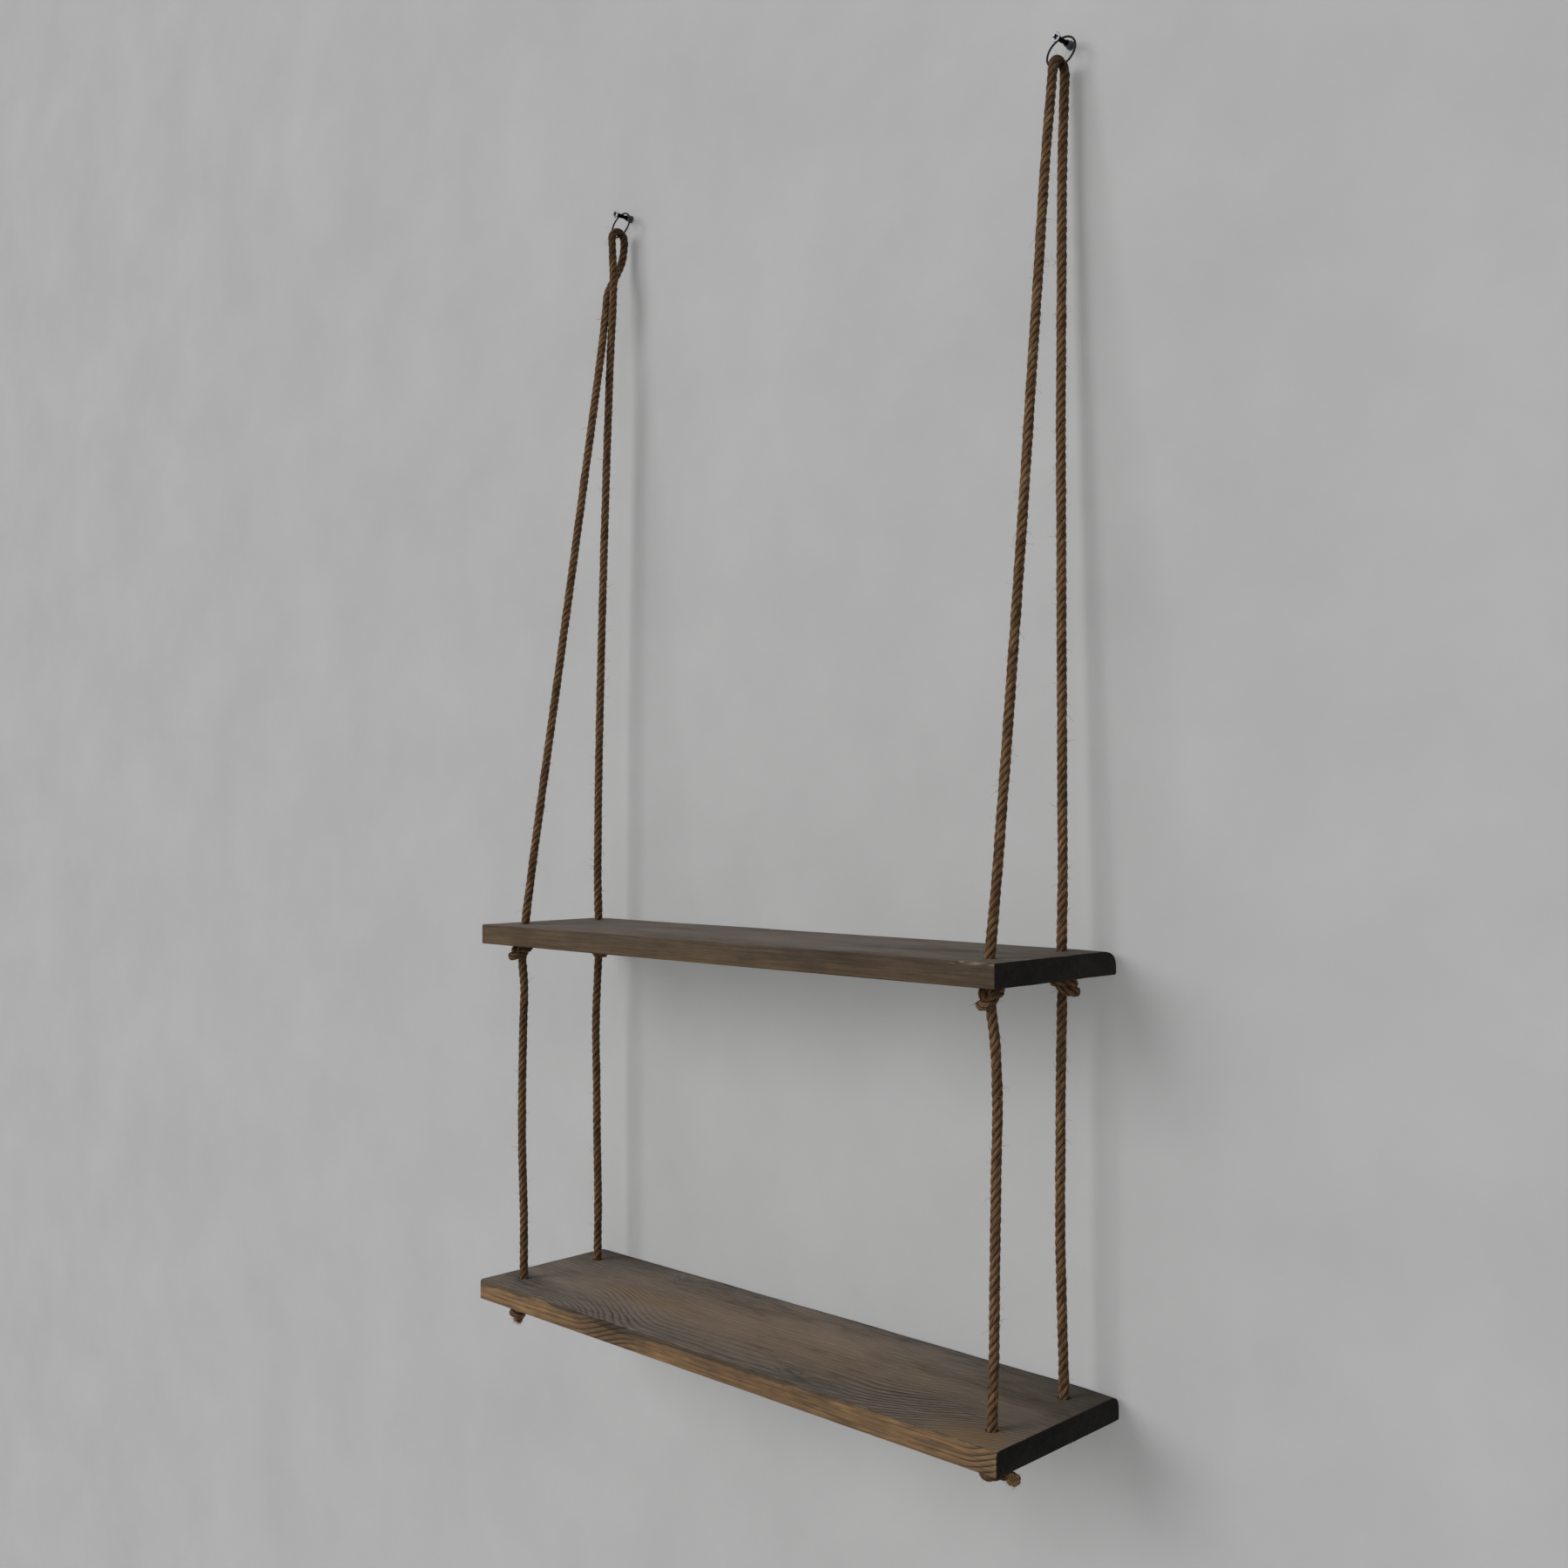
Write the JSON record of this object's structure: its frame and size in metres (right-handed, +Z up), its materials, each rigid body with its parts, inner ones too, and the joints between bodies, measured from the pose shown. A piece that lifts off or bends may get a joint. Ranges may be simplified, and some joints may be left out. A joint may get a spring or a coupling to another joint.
{
  "type": "hanging rope shelf",
  "caption": "Rustic wooden shelf unit that hangs from wall screws on knotted natural rope, with plank shelves one above the other.",
  "frame": {"origin": "on the wall's face, midway between the axes of the two screws that the shelf hangs on", "axes": "+X along the shelves to the right as seen from the room, +Y into the wall, +Z up"},
  "size_m": [0.8, 0.23, 1.4302],
  "materials": {
    "weathered_wood": "rough sawn, weathered grey-brown",
    "natural_rope": "four-strand laid natural fibre, hairy",
    "dark_steel": "dark drawn wire, satin",
    "zinc_plated_steel": "bright zinc",
    "plug_plastic": "moulded nylon"
  },
  "bodies": {
    "wall_fixings": {"left_screw": "zinc_plated_steel", "left_wall_plug": "plug_plastic", "right_screw": "zinc_plated_steel", "right_wall_plug": "plug_plastic"},
    "left_ring": {"left_ring": "dark_steel"},
    "right_ring": {"right_ring": "dark_steel"},
    "left_rope": {"left_rope_loop": "natural_rope"},
    "right_rope": {"right_rope_loop": "natural_rope"},
    "upper_shelf": {"upper_shelf_board": "weathered_wood", "upper_hole_rope_front_left": "natural_rope", "upper_hole_rope_front_right": "natural_rope", "upper_hole_rope_rear_left": "natural_rope", "upper_hole_rope_rear_right": "natural_rope", "upper_knot_front_left": "natural_rope", "upper_knot_front_right": "natural_rope", "upper_knot_rear_left": "natural_rope", "upper_knot_rear_right": "natural_rope"},
    "upper_bend_front_left": {"upper_rope_bend_front_left": "natural_rope"},
    "upper_bend_front_right": {"upper_rope_bend_front_right": "natural_rope"},
    "upper_bend_rear_left": {"upper_rope_bend_rear_left": "natural_rope"},
    "upper_bend_rear_right": {"upper_rope_bend_rear_right": "natural_rope"},
    "lower_rope_front_left": {"lower_rope_front_left": "natural_rope"},
    "lower_rope_front_right": {"lower_rope_front_right": "natural_rope"},
    "lower_rope_rear_left": {"lower_rope_rear_left": "natural_rope"},
    "lower_rope_rear_right": {"lower_rope_rear_right": "natural_rope"},
    "lower_bend_front_left": {"lower_rope_bend_front_left": "natural_rope"},
    "lower_shelf": {"lower_shelf_board": "weathered_wood", "lower_rope_bend_front_right": "natural_rope", "lower_rope_bend_rear_left": "natural_rope", "lower_rope_bend_rear_right": "natural_rope", "lower_hole_rope_front_left": "natural_rope", "lower_hole_rope_front_right": "natural_rope", "lower_hole_rope_rear_left": "natural_rope", "lower_hole_rope_rear_right": "natural_rope", "lower_knot_front_left": "natural_rope", "lower_knot_front_right": "natural_rope", "lower_knot_rear_left": "natural_rope", "lower_knot_rear_right": "natural_rope"}
  },
  "joints": [
    {"name": "swing_out", "type": "hinge", "parent": "wall_fixings", "child": "left_ring", "pos_m": [-0.352, -0.0142, 0.004], "axis": [-1, 0, 0], "range_deg": [0, 25]},
    {"name": "right_swing_out", "type": "hinge", "parent": "wall_fixings", "child": "right_ring", "pos_m": [0.352, -0.0142, 0.004], "axis": [-1, 0, 0], "range_deg": [0, 25]},
    {"name": "sway", "type": "hinge", "parent": "left_ring", "child": "left_rope", "pos_m": [-0.352, -0.01835, -0.01264], "axis": [0, 1, 0], "range_deg": [-8, 8]},
    {"name": "right_sway", "type": "hinge", "parent": "right_ring", "child": "right_rope", "pos_m": [0.352, -0.01835, -0.01264], "axis": [0, 1, 0], "range_deg": [-8, 8]},
    {"name": "upper_shelf_level", "type": "hinge", "parent": "left_rope", "child": "upper_shelf", "pos_m": [-0.364, -0.1015, -0.932], "axis": [0, 1, 0], "range_deg": [-8, 8]},
    {"name": "lower_sway", "type": "hinge", "parent": "upper_shelf", "child": "upper_bend_front_left", "pos_m": [-0.364, -0.16, -0.98633], "axis": [0, 1, 0], "range_deg": [-8, 8]},
    {"name": "lower_sway_front_right", "type": "hinge", "parent": "upper_shelf", "child": "upper_bend_front_right", "pos_m": [0.364, -0.16, -0.98633], "axis": [0, 1, 0], "range_deg": [-8, 8]},
    {"name": "lower_sway_rear_left", "type": "hinge", "parent": "upper_shelf", "child": "upper_bend_rear_left", "pos_m": [-0.364, -0.043, -0.98633], "axis": [0, 1, 0], "range_deg": [-8, 8]},
    {"name": "lower_sway_rear_right", "type": "hinge", "parent": "upper_shelf", "child": "upper_bend_rear_right", "pos_m": [0.364, -0.043, -0.98633], "axis": [0, 1, 0], "range_deg": [-8, 8]},
    {"name": "lower_swing_out", "type": "hinge", "parent": "upper_bend_front_left", "child": "lower_rope_front_left", "pos_m": [-0.364, -0.16, -0.98633], "axis": [-1, 0, 0], "range_deg": [0, 20]},
    {"name": "lower_swing_out_front_right", "type": "hinge", "parent": "upper_bend_front_right", "child": "lower_rope_front_right", "pos_m": [0.364, -0.16, -0.98633], "axis": [-1, 0, 0], "range_deg": [0, 20]},
    {"name": "lower_swing_out_rear_left", "type": "hinge", "parent": "upper_bend_rear_left", "child": "lower_rope_rear_left", "pos_m": [-0.364, -0.043, -0.98633], "axis": [-1, 0, 0], "range_deg": [0, 20]},
    {"name": "lower_swing_out_rear_right", "type": "hinge", "parent": "upper_bend_rear_right", "child": "lower_rope_rear_right", "pos_m": [0.364, -0.043, -0.98633], "axis": [-1, 0, 0], "range_deg": [0, 20]},
    {"name": "lower_shelf_upright", "type": "hinge", "parent": "lower_rope_front_left", "child": "lower_bend_front_left", "pos_m": [-0.364, -0.16, -1.372], "axis": [-1, 0, 0], "range_deg": [-20, 0]},
    {"name": "lower_shelf_level", "type": "hinge", "parent": "lower_bend_front_left", "child": "lower_shelf", "pos_m": [-0.364, -0.16, -1.372], "axis": [0, 1, 0], "range_deg": [-8, 8]}
  ],
  "couplings": [
    {"joint": "right_swing_out", "follows": "swing_out", "ratio": 1},
    {"joint": "right_sway", "follows": "sway", "ratio": 1},
    {"joint": "upper_shelf_level", "follows": "sway", "ratio": -0.96703},
    {"joint": "lower_sway_front_right", "follows": "lower_sway", "ratio": 1},
    {"joint": "lower_sway_rear_left", "follows": "lower_sway", "ratio": 1},
    {"joint": "lower_sway_rear_right", "follows": "lower_sway", "ratio": 1},
    {"joint": "lower_swing_out_front_right", "follows": "lower_swing_out", "ratio": 1},
    {"joint": "lower_swing_out_rear_left", "follows": "lower_swing_out", "ratio": 1},
    {"joint": "lower_swing_out_rear_right", "follows": "lower_swing_out", "ratio": 1},
    {"joint": "lower_shelf_upright", "follows": "lower_swing_out", "ratio": -1},
    {"joint": "lower_shelf_level", "follows": "lower_sway", "ratio": -1}
  ]
}
